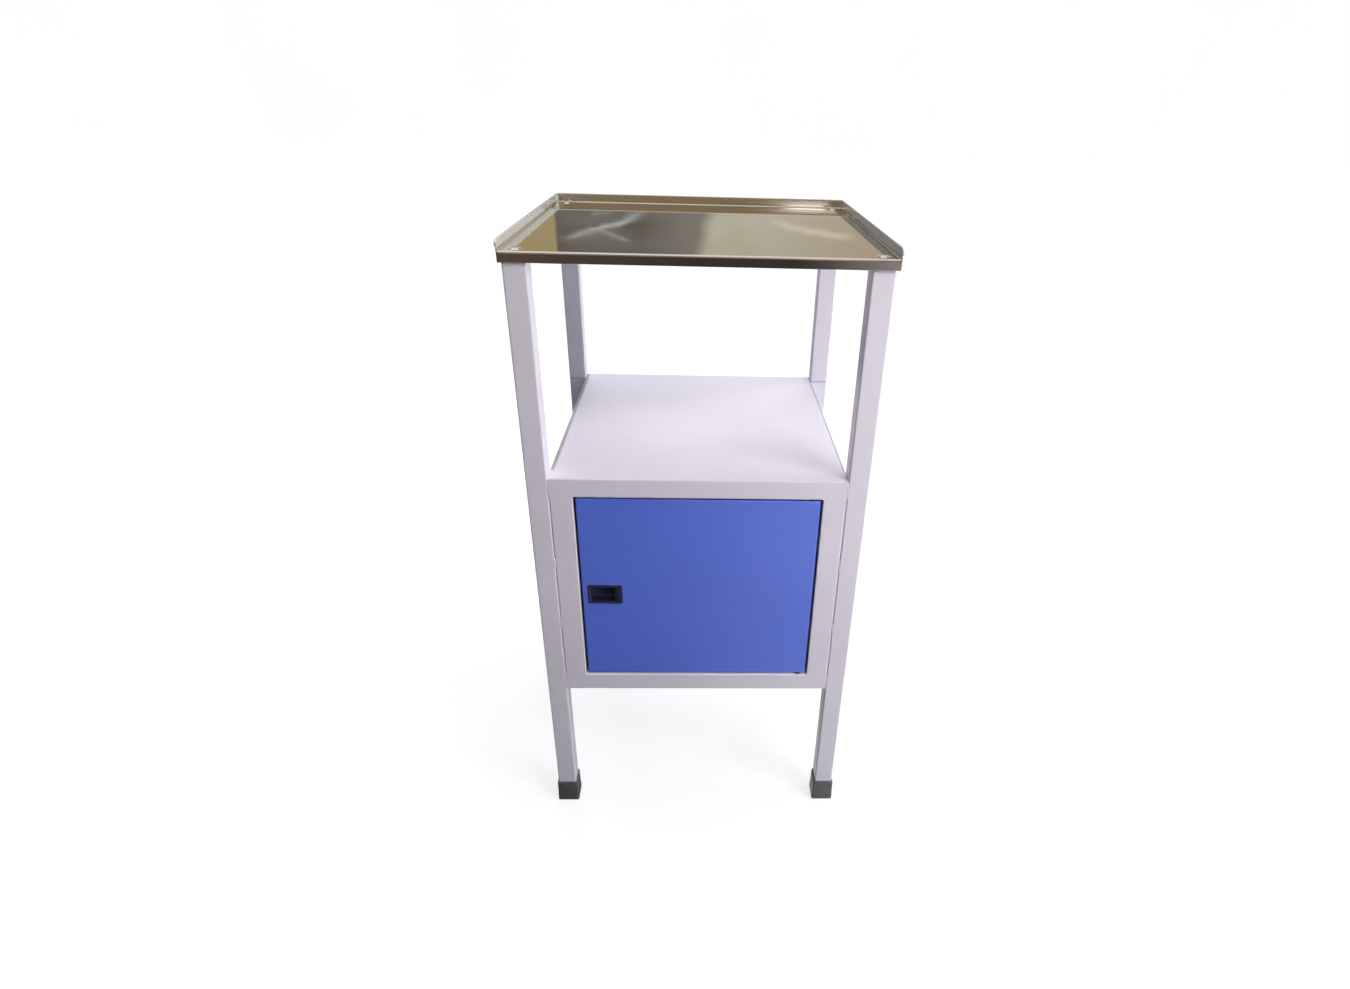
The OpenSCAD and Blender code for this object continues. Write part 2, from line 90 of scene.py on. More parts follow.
class Nodes:
    """A short way to write a material's node tree."""

    def __init__(self, material):
        material.use_nodes = True
        self.tree = material.node_tree
        self.tree.nodes.clear()
        self.out = self.tree.nodes.new("ShaderNodeOutputMaterial")

    def add(self, kind, inputs=None, **settings):
        node = self.tree.nodes.new("ShaderNode" + kind)
        for key, value in settings.items():
            setattr(node, key, value)
        for key, value in (inputs or {}).items():
            self.set(node.inputs[key], value)
        return node

    def set(self, socket, value):
        if isinstance(value, bpy.types.NodeSocket):
            self.tree.links.new(value, socket)
        else:
            socket.default_value = value

    def coords(self, scale=(1, 1, 1)):
        texture = self.add("TexCoord")
        mapping = self.add("Mapping", {"Vector": texture.outputs["Object"], "Scale": scale})
        return mapping.outputs["Vector"]

    def axes(self):
        texture = self.add("TexCoord")
        split = self.add("SeparateXYZ", {"Vector": texture.outputs["Object"]})
        return split.outputs[0], split.outputs[1], split.outputs[2]

    def noise(self, vector, scale, detail=2.0, roughness=0.5, distortion=0.0):
        node = self.add("TexNoise", {
            "Vector": vector, "Scale": scale, "Detail": detail,
            "Roughness": roughness, "Distortion": distortion,
        })
        return node.outputs["Fac"]

    def remap(self, value, low, high, to_low=0.0, to_high=1.0, smooth=False):
        node = self.add("MapRange", {
            "Value": value, "From Min": low, "From Max": high, "To Min": to_low, "To Max": to_high,
        })
        node.interpolation_type = "SMOOTHSTEP" if smooth else "LINEAR"
        return node.outputs["Result"]

    def math(self, operation, a, b=0.0):
        node = self.add("Math", operation=operation)
        self.set(node.inputs[0], a)
        self.set(node.inputs[1], b)
        return node.outputs[0]

    def product(self, first, *others):
        for other in others:
            first = self.math("MULTIPLY", first, other)
        return first

    def length(self, a, b):
        """The length of the arrow with the sides a and b."""
        return self.math("SQRT", self.math("ADD", self.product(a, a), self.product(b, b)))

    def mix(self, factor, a, b):
        node = self.add("Mix", data_type="RGBA")
        self.set(node.inputs[0], factor)
        self.set(node.inputs[6], a if isinstance(a, bpy.types.NodeSocket) else (*a, 1))
        self.set(node.inputs[7], b if isinstance(b, bpy.types.NodeSocket) else (*b, 1))
        return node.outputs[2]

    def bump(self, height, distance, strength=1.0, under=None):
        node = self.add("Bump", {"Height": height, "Distance": distance, "Strength": strength})
        if under is not None:
            self.set(node.inputs["Normal"], under)
        return node.outputs["Normal"]

    def principled(self, **inputs):
        node = self.add("BsdfPrincipled")
        for key, value in inputs.items():
            socket = node.inputs[key.replace("_", " ")]
            if not isinstance(value, bpy.types.NodeSocket) and socket.type == "RGBA":
                value = (*value, 1)
            self.set(socket, value)
        self.tree.links.new(node.outputs[0], self.out.inputs["Surface"])
        return node

    def emission(self, colour, strength=1.0):
        node = self.add("Emission", {"Strength": strength})
        self.set(node.inputs["Color"], colour)
        self.tree.links.new(node.outputs[0], self.out.inputs["Surface"])
        return node


def scaled(colour, k):
    return tuple(c * k for c in colour)


def linear(red, green, blue):
    """Display values from 0 to 255 as linear light."""
    def one(value):
        value /= 255
        return value / 12.92 if value <= 0.04045 else ((value + 0.055) / 1.055) ** 2.4
    return one(red), one(green), one(blue)


def opening_shade(n):
    """Painted shade on the turned-in top and side edges of the door opening, as a factor."""
    x, y, z = n.axes()
    inside = n.remap(n.math("ABSOLUTE", x), OPENING_X + 0.8 * MM, OPENING_X + 0.2 * MM)
    below = n.remap(z, OPENING_HIGH + 1.9 * MM, OPENING_HIGH + 1.2 * MM)
    above = n.remap(z, OPENING_LOW + 0.2 * MM, OPENING_LOW + 2 * MM)
    behind = n.remap(y, CAB_LOW.y + 0.3 * MM, CAB_LOW.y + 0.9 * MM)
    ahead = n.remap(y, CAB_LOW.y + 11 * MM, CAB_LOW.y + 3 * MM, smooth=True)
    return n.product(inside, below, above, behind, ahead)


def shelf_edge_shade(n):
    """Painted shade along both side edges of the shelf, behind the front legs, in patches, as a factor.
    """
    x, y, z = n.axes()
    right = n.remap(x, CAB_HIGH.x - SHELF_SHADE_WIDTH, CAB_HIGH.x - 0.4 * SHELF_SHADE_WIDTH, smooth=True)
    left = n.remap(x, 2.4 * SHELF_SHADE_WIDTH - CAB_HIGH.x, 1.2 * SHELF_SHADE_WIDTH - CAB_HIGH.x, smooth=True)
    behind = n.remap(y, CAB_LOW.y + LEG_W - 2 * MM, CAB_LOW.y + LEG_W + 2 * MM)
    patchy = n.remap(n.noise(n.coords(), 30.0, 3.0), 0.3, 0.7, 0.6, 1.0)
    above = n.remap(z, CAB_HIGH.z - 0.6 * MM, CAB_HIGH.z - 0.4 * MM)
    below = n.remap(z, CAB_HIGH.z + 1.6 * MM, CAB_HIGH.z + 0.2 * MM)
    return n.product(n.math("MAXIMUM", left, right), behind, above, below, patchy)


def powder_coat(name, colour, gloss, shaded_edges=False):
    """Stoved powder coat: a faint orange-peel texture on sheet that isn't quite flat."""
    material = bpy.data.materials.new(name)
    n = Nodes(material)
    place = n.coords()
    cloud = n.noise(place, 5.0, 3.0)
    fleck = n.noise(place, 160.0, 3.0)
    shade = n.math("ADD", n.remap(cloud, 0.3, 0.7, 0.0, 0.7), n.remap(fleck, 0.3, 0.7, 0.0, 0.3))
    base = n.mix(shade, scaled(colour, 0.95), scaled(colour, 1.04))
    # Painted shade: darker lines along the shelf's side edges, and on the turned-in edges of the door
    # opening.
    if shaded_edges:
        base = n.mix(shelf_edge_shade(n), base, scaled(colour, 0.35))
        base = n.mix(opening_shade(n), base, scaled(colour, 0.22))
    rough = n.remap(n.noise(place, 9.0, 4.0), 0.3, 0.7, gloss - 0.05, gloss + 0.07)
    sheet = n.bump(n.noise(place, 7.0, 1.0), 0.0010, 0.30)
    peel = n.bump(n.noise(place, 620.0, 2.0), 0.00012, 0.45, sheet)
    n.principled(
        Base_Color=base, Roughness=rough, Normal=peel, Coat_Weight=0.2, Coat_Roughness=0.2,
        Specular_IOR_Level=0.45,
    )
    return material


def dimple_darkening(n):
    """Where the slopes of the four pressed dimples in the tray's floor turn darker and rougher, as a
    factor.
    """
    x, y, z = n.axes()
    dx = n.math("SUBTRACT", n.math("ABSOLUTE", x), LEG_X)
    dy = n.math("SUBTRACT", n.math("ABSOLUTE", y), LEG_Y)
    near = n.remap(n.length(dx, dy), 8 * MM, 7.5 * MM)
    return n.product(near, n.remap(z, FLOOR_Z - 0.02 * MM, FLOOR_Z - 0.3 * MM))


def polished_stainless(name, colour):
    """Polished stainless sheet: smeared and nearly a mirror, with a satin rim and duller side rims."""
    material = bpy.data.materials.new(name)
    n = Nodes(material)
    place = n.coords()
    x, _, z = n.axes()
    grain = n.noise(n.coords((6, 420, 420)), 4.0, 3.0, 0.6)
    smear = n.noise(place, 11.0, 5.0, 0.6, 1.2)
    scratch = n.noise(n.coords((6, 1600, 1600)), 2.0, 1.0)
    base = n.mix(n.remap(smear, 0.3, 0.7), scaled(colour, 0.95), scaled(colour, 1.03))
    ground = n.remap(z, FLOOR_Z + 1 * MM, FLOOR_Z + 4 * MM, smooth=True)
    side = n.remap(n.math("ABSOLUTE", x), TRAY_HIGH.x - 2.6 * MM, TRAY_HIGH.x - 2.1 * MM)
    dull = n.product(ground, side)
    base = n.mix(dull, base, RIM_DULL)
    # Darker, rougher metal on the dimple slopes.
    dark_slopes = dimple_darkening(n)
    base = n.mix(n.product(dark_slopes, 0.9), base, DIMPLE_DARK)
    rough = n.math("ADD", n.remap(smear, 0.4, 0.8, 0.02, 0.07), n.remap(grain, 0.3, 0.7, 0.0, 0.012))
    rough = n.math("ADD", rough, n.product(ground, RIM_GRIND))
    rough = n.math("ADD", rough, n.product(dark_slopes, 0.25))
    wave = n.bump(n.noise(place, 5.0, 1.0), 0.0010, 0.25)
    fine = n.bump(scratch, 0.00001, n.remap(ground, 0.0, 1.0, 0.03, 0.0), wave)
    metal = n.remap(dull, 0.0, 1.0, 1.0, RIM_METAL)
    n.principled(Base_Color=base, Metallic=metal, Roughness=rough, Normal=fine)
    return material


def plated_steel(name, colour, rough):
    """Small bright or zinc-plated hardware."""
    material = bpy.data.materials.new(name)
    n = Nodes(material)
    place = n.coords()
    spangle = n.noise(place, 210.0, 3.0)
    base = n.mix(n.remap(spangle, 0.3, 0.7), scaled(colour, 0.85), scaled(colour, 1.1))
    roughness = n.remap(n.noise(place, 90.0, 4.0), 0.3, 0.7, rough - 0.06, rough + 0.10)
    n.principled(
        Base_Color=base, Metallic=1.0, Roughness=roughness,
        Normal=n.bump(n.noise(place, 700.0, 3.0), 0.00005, 0.4),
    )
    return material


def moulded_plastic(name, colour, rough, grain_scale, grain_depth, dust=0.0):
    """Moulded plastic or rubber: an etched grain, uneven gloss and a little dust."""
    material = bpy.data.materials.new(name)
    n = Nodes(material)
    place = n.coords()
    cloud = n.noise(place, 24.0, 4.0)
    base = n.mix(n.remap(cloud, 0.3, 0.7), scaled(colour, 0.82), scaled(colour, 1.18))
    if dust > 0:
        fleck = n.noise(place, 300.0, 2.0)
        base = n.mix(n.remap(fleck, 0.52, 0.80, 0.0, dust), base, (0.30, 0.29, 0.28))
    roughness = n.remap(cloud, 0.3, 0.7, rough - 0.06, rough + 0.08)
    n.principled(
        Base_Color=base, Roughness=roughness,
        Normal=n.bump(n.noise(place, grain_scale, 2.0), grain_depth, 0.6),
    )
    return material


# A material for each of the record's slots
MATERIALS = {
    "painted_steel": powder_coat("powder_lilac_white", (0.760, 0.730, 0.840), 0.36, shaded_edges=True),
    "blue_steel": powder_coat("powder_blue", (0.104, 0.180, 0.775), 0.34),
    "stainless": polished_stainless("stainless_polished", (0.64, 0.62, 0.585)),
    "screw_steel": plated_steel("bright_plated_steel", (0.78, 0.77, 0.74), 0.20),
    "zinc_steel": plated_steel("zinc_plated_steel", (0.56, 0.57, 0.59), 0.40),
    "shoe_pvc": moulded_plastic("pvc_dark_grey", (0.078, 0.078, 0.084), 0.46, 500.0, 0.00012, 0.35),
    "buffer_rubber": moulded_plastic("rubber_black", (0.030, 0.030, 0.030), 0.70, 600.0, 0.00010, 0.2),
    "black_plastic": moulded_plastic("abs_black", (0.007, 0.008, 0.045), 0.50, 900.0, 0.00006),
    "nylon": moulded_plastic("nylon_natural", (0.74, 0.73, 0.68), 0.42, 700.0, 0.00004),
    "black_nylon": moulded_plastic("nylon_black", (0.030, 0.030, 0.032), 0.50, 700.0, 0.00004),
    "ferrite": moulded_plastic("ferrite_grey", (0.060, 0.060, 0.064), 0.60, 800.0, 0.00010),
}


# ---------- mesh building ----------

def make_object(name, points, faces, sharp=None):
    """A mesh object from points in metres, with outward normals and smooth shading."""
    bm = bmesh.new()
    verts = [bm.verts.new(point) for point in points]
    for face in faces:
        corners = [verts[i] for i in dict.fromkeys(face)]
        if len(corners) > 2:
            bm.faces.new(corners)
    bmesh.ops.remove_doubles(bm, verts=bm.verts, dist=0.001 * MM)
    bmesh.ops.dissolve_degenerate(bm, dist=0.001 * MM, edges=bm.edges)
    bmesh.ops.recalc_face_normals(bm, faces=bm.faces)
    mesh = bpy.data.meshes.new(name)
    bm.to_mesh(mesh)
    bm.free()
    mesh.shade_smooth()
    if sharp:
        mesh.set_sharp_from_angle(angle=math.radians(sharp))
    obj = bpy.data.objects.new(name, mesh)
    bpy.context.scene.collection.objects.link(obj)
    return obj


def dress(obj, slot, body, replaces=None):
    """Gives a new piece the material of its slot and its body, and hides the node that it stands in for.
    """
    obj.data.materials.append(MATERIALS[slot])
    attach(obj, body)
    if replaces:
        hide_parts(replaces)
    return obj


def grid_faces(rows, columns, start=0, close=False):
    """Quads between consecutive rows of points, with each row closed into a ring if asked."""
    faces = []
    for row in range(rows - 1):
        for column in range(columns if close else columns - 1):
            a = start + row * columns + column
            b = start + row * columns + (column + 1) % columns
            faces.append((a, b, b + columns, a + columns))
    return faces


def rounded_outline(width, height, radius, steps=5):
    """A rectangle with round corners around the origin, as points in the plane."""
    points = []
    for sx, sy, start in ((1, 1, 0), (-1, 1, 90), (-1, -1, 180), (1, -1, 270)):
        for step in range(steps + 1):
            angle = math.radians(start + 90 * step / steps)
            points.append((
                sx * (width / 2 - radius) + radius * math.cos(angle),
                sy * (height / 2 - radius) + radius * math.sin(angle),
            ))
    return points


def loft(name, rings, sharp=None):
    """A closed solid through rings with the same number of points, with flat ends."""
    count = len(rings[0])
    points = [point for ring in rings for point in ring]
    faces = grid_faces(len(rings), count, close=True)
    faces.append(tuple(range(count)))
    faces.append(tuple(range(len(points) - count, len(points))))
    return make_object(name, points, faces, sharp)


def arc(centre, radius, start, end, steps):
    """Points on an arc in a plane, with the angles in degrees."""
    angles = [math.radians(start + (end - start) * i / steps) for i in range(steps + 1)]
    return [(centre[0] + radius * math.cos(a), centre[1] + radius * math.sin(a)) for a in angles]


# ---------- tray ----------

TRAY_HALF = TRAY_HIGH.x
FLAT_X = TRAY_HALF - 3 * MM
FLAT_REAR = TRAY_HIGH.y - 3 * MM
FLAT_FRONT = TRAY_LOW.y + 2 * MM
DIMPLE_HALF = FLAT_X - LEG_X
DIMPLE_STEPS = 8
# A dimple's section as (radius, depth) in mm, from the flat floor in to the screw's hole
DIMPLE_SECTION = ((7.4, 0), (7.1, 0.03), (6.8, 0.14), (6.1, 0.85), (5.8, 1.08), (5.4, 1.18), (2.75, 1.2))
HOLE_RADIUS, DIMPLE_DEPTH = DIMPLE_SECTION[-1]
# The hem's length and the radius of the rim's front corners, in mm
HEM = 6
NOSE_R = 5.0


def span_steps(low, high, steps):
    return [low + (high - low) * i / steps for i in range(steps + 1)]


def tray_lines(low, high, centres):
    """Grid lines across the floor, closer together over each dimple."""
    lines = [low]
    for centre in centres:
        lines += span_steps(centre - DIMPLE_HALF, centre + DIMPLE_HALF, DIMPLE_STEPS)
    lines.append(high)
    lines.sort()
    return [v for i, v in enumerate(lines) if i == 0 or v - lines[i - 1] > 0.01 * MM]


X_LINES = tray_lines(-FLAT_X, FLAT_X, (-LEG_X, LEG_X))
Y_LINES = tray_lines(FLAT_FRONT, FLAT_REAR, (-LEG_Y, LEG_Y))


def in_dimple(x, y):
    return abs(abs(x) - LEG_X) < DIMPLE_HALF and abs(abs(y) - LEG_Y) < DIMPLE_HALF


def tray_floor_skin(z, spread, points, faces):
    """One face of the tray's floor: a flat grid with four pressed dimples, wider by spread in mm."""
    start = len(points)
    points += [(x, y, z) for x in X_LINES for y in Y_LINES]
    rows = len(Y_LINES)
    for i in range(len(X_LINES) - 1):
        for j in range(rows - 1):
            middle = (X_LINES[i] + X_LINES[i + 1]) / 2, (Y_LINES[j] + Y_LINES[j + 1]) / 2
            if not in_dimple(*middle):
                a = start + i * rows + j
                faces.append((a, a + 1, a + rows + 1, a + rows))
    side = span_steps(-DIMPLE_HALF, DIMPLE_HALF, DIMPLE_STEPS)[:-1]
    square = [(v, -DIMPLE_HALF) for v in side] + [(DIMPLE_HALF, v) for v in side]
    square += [(-v, DIMPLE_HALF) for v in side] + [(-DIMPLE_HALF, -v) for v in side]
    for cx in (-LEG_X, LEG_X):
        for cy in (-LEG_Y, LEG_Y):
            base = len(points)
            points += [(cx + u, cy + v, z) for u, v in square]
            for radius, depth in DIMPLE_SECTION:
                grow = spread if radius > HOLE_RADIUS else 0
                for i in range(len(square)):
                    angle = math.radians(225) + math.tau * i / len(square)
                    reach = (radius + grow) * MM
                    points.append((
                        cx + reach * math.cos(angle), cy + reach * math.sin(angle), z - depth * MM
                    ))
            faces += grid_faces(len(DIMPLE_SECTION) + 1, len(square), base, close=True)


def rim_profile():
    """The rim's section as (outward, up) in mm, from the floor's top face round to its underside."""
    rise = (TRAY_HIGH.z - FLOOR_Z) / MM
    hem = rise - HEM
    section = arc((0, 1), 1, -90, 0, 6)
    section += [(1, 1.4), (1, rise - 4.4), (1, rise - 4), (0.94, rise - 3.2)]
    section += arc((2, rise - 1), 1, 180, 0, 10)
    section += [(3, rise - 1.4), (3, hem + 0.6), (3, hem + 0.4), (2.9, hem + 0.1)]
    section += [(2.6, hem), (2.15, hem), (2, hem - 0.15)]
    section += arc((0, 1), 2, 0, -90, 6)
    return section


def rim_path():
    """The way round the rim, as points (x, y) with their outward directions (x, y)."""
    nose = [TRAY_LOW.y + NOSE_R * MM * (1 - math.cos(math.radians(15 * i))) for i in range(7)]
    along = nose + [y for y in Y_LINES if y > nose[-1] + 0.5 * MM]
    path = [(-FLAT_X, y, -1, 0) for y in along[:-1]]
    path += [
        (-FLAT_X, FLAT_REAR, math.cos(math.radians(a)), math.sin(math.radians(a)))
        for a in range(180, 89, -15)
    ]
    path += [(x, FLAT_REAR, 0, 1) for x in X_LINES[1:-1]]
    path += [
        (FLAT_X, FLAT_REAR, math.cos(math.radians(a)), math.sin(math.radians(a)))
        for a in range(90, -1, -15)
    ]
    path += [(FLAT_X, y, 1, 0) for y in reversed(along[:-1])]
    return path


def nose_height(up, back):
    """The rim's height near its front end, where the corner is rounded and the floor bends down."""
    rise = (TRAY_HIGH.z - FLOOR_Z) / MM
    waist, bend = 2.5, 2.0
    if back < NOSE_R and up > waist:
        top = rise - NOSE_R + math.sqrt(NOSE_R ** 2 - (NOSE_R - back) ** 2)
        up = waist + (up - waist) * (top - waist) / (rise - waist)
    if back < bend:
        drop = bend - math.sqrt(max(0.0, bend ** 2 - (bend - back) ** 2))
        up -= drop * max(0.0, 1 - max(up, 0.0) / waist)
    return up


def build_tray():
    """The tray as one folded sheet: floor, hemmed rim with closed corners, and front flange."""
    points, faces = [], []
    tray_floor_skin(FLOOR_Z, 0.0, points, faces)
    tray_floor_skin(FLOOR_Z - SHEET, 0.5, points, faces)
    for cx in (-LEG_X, LEG_X):
        for cy in (-LEG_Y, LEG_Y):
            base = len(points)
            for z in (FLOOR_Z - DIMPLE_DEPTH * MM, FLOOR_Z - DIMPLE_DEPTH * MM - SHEET):
                for i in range(4 * DIMPLE_STEPS):
                    angle = math.radians(225) + math.tau * i / (4 * DIMPLE_STEPS)
                    reach = HOLE_RADIUS * MM
                    points.append((cx + reach * math.cos(angle), cy + reach * math.sin(angle), z))
            faces += grid_faces(2, 4 * DIMPLE_STEPS, base, close=True)

    section, path = rim_profile(), rim_path()
    base = len(points)
    for x, y, ox, oy in path:
        back = (y - TRAY_LOW.y) / MM
        for out, up in section:
            height = nose_height(up, back)
            points.append((x + ox * out * MM, y + oy * out * MM, FLOOR_Z + height * MM))
    faces += grid_faces(len(path), len(section), base)
    faces.append(tuple(range(base, base + len(section))))
    faces.append(tuple(range(len(points) - len(section), len(points))))

    front, low = TRAY_LOW.y, TRAY_LOW.z
    outer = [(y, z) for y, z in arc((front + 2 * MM, FLOOR_Z - 2 * MM), 2 * MM, 90, 180, 8)]
    inner = [(y, z) for y, z in arc((front + 2 * MM, FLOOR_Z - 2 * MM), MM, 180, 90, 8)]
    edge = [(front, FLOOR_Z - 2.4 * MM), (front, low + 0.25 * MM)]
    edge += [(front + 0.3 * MM, low), (front + 0.7 * MM, low)]
    section = outer + edge + [(front + MM, low + 0.25 * MM)] + inner
    across = [-TRAY_HALF + MM, *X_LINES, TRAY_HALF - MM]
    base = len(points)
    for x in across:
        points += [(x, y, z) for y, z in section]
    faces += grid_faces(len(across), len(section), base)
    faces.append(tuple(range(base, base + len(section))))
    faces.append(tuple(range(len(points) - len(section), len(points))))
    dress(make_object("tray_sheet", points, faces, 35), "stainless", LOCKER, "tray_top")


# ---------- shoes and pull ----------

def build_shoe(name):
    """A flared plastic shoe with a rolled lip, two grooves and a rounded bottom edge."""
    low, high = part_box(name)
    cx, cy = (low.x + high.x) / 2, (low.y + high.y) / 2
    foot, height = high.x - low.x, high.z - low.z
    top = foot - 2 * MM
    bore = LEG_W + 0.1 * MM

    def ring(width, z, radius):
        outline = rounded_outline(width, width, radius)
        return [(cx + x, cy + y, low.z + z) for x, y in outline]

    def width_at(z):
        return foot + (top - foot) * z / height

    rings = [ring(foot - 3.0 * MM, 0.0, 1.6 * MM), ring(foot - 1.2 * MM, 0.25 * MM, 2.0 * MM)]
    rings.append(ring(foot - 0.3 * MM, 1.2 * MM, 2.3 * MM))
    for z, inset in (
        (3.0, 0.0), (5.0, 0.0), (5.4, 0.5), (6.2, 0.5), (6.6, 0.0), (16.0, 0.15), (27.0, 0.0),
        (27.3, 0.45), (28.1, 0.45), (28.4, 0.0), (33.6, 0.0), (34.4, 0.25), (34.9, 0.9),
    ):
        rings.append(ring(width_at(z * MM) - 2 * inset * MM, z * MM, 2.4 * MM))
    rings.append(ring(bore + 0.5 * MM, height, 1.8 * MM))
    rings.append(ring(bore, height - 0.5 * MM, 1.9 * MM))
    rings.append(ring(bore, 4.0 * MM, 1.9 * MM))
    dress(loft(name.replace("shoe", "foot_cap"), rings, 40), "shoe_pvc", LOCKER, name)


def build_pull():
    """A flush pull: a bezel with soft edges and a drawn cup with a finger lip on the right."""
    cx, cz = (PULL_LOW.x + PULL_HIGH.x) / 2, (PULL_LOW.z + PULL_HIGH.z) / 2
    width, height = PULL_HIGH.x - PULL_LOW.x, PULL_HIGH.z - PULL_LOW.z
    face = DOOR_LOW.y
    front, back = PULL_LOW.y, PULL_HIGH.y
    wall, lip = 1.2 * MM, 6 * MM
    cup_w, cup_h = width - 5 * MM, height - 5 * MM
    in_w, in_h = cup_w - 2 * wall, cup_h - 2 * wall

    def ring(w, h, radius, y, shift=0.0):
        return [(cx + shift + x, y, cz + z) for x, z in rounded_outline(w, h, radius)]

    mouth_w, mouth_x = in_w - lip, -lip / 2
    rings = [
        ring(width, height, 2 * MM, face),
        ring(width, height, 2 * MM, front + 0.7 * MM),
        ring(width - 0.3 * MM, height - 0.3 * MM, 2 * MM, front + 0.35 * MM),
        ring(width - 1.0 * MM, height - 1.0 * MM, 1.8 * MM, front + 0.08 * MM),
        ring(width - 2.0 * MM, height - 2.0 * MM, 1.6 * MM, front),
        ring(mouth_w + 2.4 * MM, in_h + 2.4 * MM, 2.0 * MM, front, mouth_x),
        ring(mouth_w + 1.6 * MM, in_h + 1.6 * MM, 1.8 * MM, front + 0.25 * MM, mouth_x),
        ring(mouth_w + 0.4 * MM, in_h + 0.4 * MM, 1.4 * MM, front + 0.5 * MM, mouth_x),
        ring(mouth_w, in_h, 1.2 * MM, front + 1.0 * MM, mouth_x),
        ring(mouth_w, in_h, 1.2 * MM, face + 0.9 * MM, mouth_x),
        ring(in_w, in_h, 1.2 * MM, face + 1.0 * MM),
        ring(in_w, in_h, 1.2 * MM, back - wall - 2.5 * MM),
        ring(in_w - 1.0 * MM, in_h - 1.0 * MM, 1.2 * MM, back - wall - 1.0 * MM),
        ring(in_w - 4.0 * MM, in_h - 4.0 * MM, 1.2 * MM, back - wall),
    ]
    shell = [
        ring(cup_w, cup_h, 2 * MM, face + 0.05 * MM),
        ring(cup_w, cup_h, 2 * MM, back - 1.5 * MM),
        ring(cup_w - 1.0 * MM, cup_h - 1.0 * MM, 2 * MM, back - 0.4 * MM),
        ring(cup_w - 3.0 * MM, cup_h - 3.0 * MM, 2 * MM, back),
    ]
    rings = [ring(in_w - 4.0 * MM, in_h - 4.0 * MM, 1.2 * MM, back - wall)] + rings[::-1][1:]
    rings += [ring(cup_w, cup_h, 2 * MM, face)] + shell
    dress(loft("pull_flush", rings, 40), "black_plastic", DOOR, "pull_housing")


# ---------- welds ----------

def bead(name, start, end, radius):
    """A painted weld bead: a rippled, uneven ridge from start to end, about half sunk in."""
    start, end = Vector(start), Vector(end)
    along = (end - start).normalized()
    side = along.orthogonal().normalized()
    up = along.cross(side)
    length = (end - start).length
    count = max(8, int(length / (0.5 * MM)))
    sides = 12
    phase = random.uniform(0, math.tau)
    points = []
    for i in range(count + 1):
        t = i / count
        taper = math.sqrt(max(0.02, 1 - (2 * t - 1) ** 6))
        ripple = 1 + 0.10 * math.sin(math.tau * length * t / (2.0 * MM) + phase)
        swell = 1 + 0.12 * math.sin(3 * math.tau * t + phase)
        drift = side * radius * 0.15 * math.sin(5 * t + phase) + up * radius * 0.1 * math.cos(7 * t)
        for j in range(sides):
            angle = math.tau * j / sides
            offset = side * math.cos(angle) + up * math.sin(angle)
            reach = radius * taper * ripple * swell * random.uniform(0.97, 1.03)
            points.append(start + along * length * t + drift + offset * reach)
    faces = grid_faces(count + 1, sides, close=True)
    faces.append(tuple(range(sides)))
    faces.append(tuple(range(len(points) - sides, len(points))))
    dress(make_object(name, points, faces), "painted_steel", LOCKER)


def build_welds():
    """Tack welds between the cabinet and the legs, and fillets where the bearers meet the legs."""
    cab_x = CAB_HIGH.x
    for side, sx in SIDES.items():
        for end, sy in ENDS.items():
            y = sy * (abs(CAB_LOW.y) - 0.75 * MM)
            for i, share in enumerate((0.05, 0.33, 0.64, 0.95)):
                middle = CAB_LOW.z + share * (CAB_HIGH.z - CAB_LOW.z) + random.uniform(-6, 6) * MM
                half = random.uniform(6, 10) * MM
                low = max(CAB_LOW.z + 1 * MM, middle - half)
                high = min(CAB_HIGH.z - 1 * MM, middle + half)
                bead(f"weld_{end}_{side}_{i + 1}", (sx * cab_x, y, low), (sx * cab_x, y, high), 0.95 * MM)
            z = TRAY_UNDERSIDE - 10 * MM - 0.1 * MM
            inner_x, inner_y = sx * (LEG_X - LEG_W / 2), sy * (LEG_Y - LEG_W / 2)
            reach = LEG_W / 2 - 3 * MM
            bead(
                f"bearer_weld_x_{end}_{side}",
                (inner_x, sy * LEG_Y - reach, z), (inner_x, sy * LEG_Y + reach, z), 1.3 * MM,
            )
            bead(
                f"bearer_weld_y_{end}_{side}",
                (sx * LEG_X - reach, inner_y, z), (sx * LEG_X + reach, inner_y, z), 1.3 * MM,
            )


def spot_mark(points, faces, centre, out, across):
    """The print of one spot weld: a shallow dish with a raised lip, on a face that looks along out."""
    up = out.cross(across)
    section = [(0.9, 0.04), (1.6, 0.06), (2.1, 0.14), (2.5, 0.26), (2.9, 0.22), (3.3, 0.05), (3.5, -0.05)]
    steps = 20
    base = len(points)
    for radius, height in section:
        for i in range(steps):
            angle = math.tau * i / steps
            arm = across * math.cos(angle) + up * math.sin(angle)
            points.append(centre + arm * radius * MM + out * height * MM)
    faces += grid_faces(len(section), steps, base, close=True)
    faces.append(tuple(range(base, base + steps)))


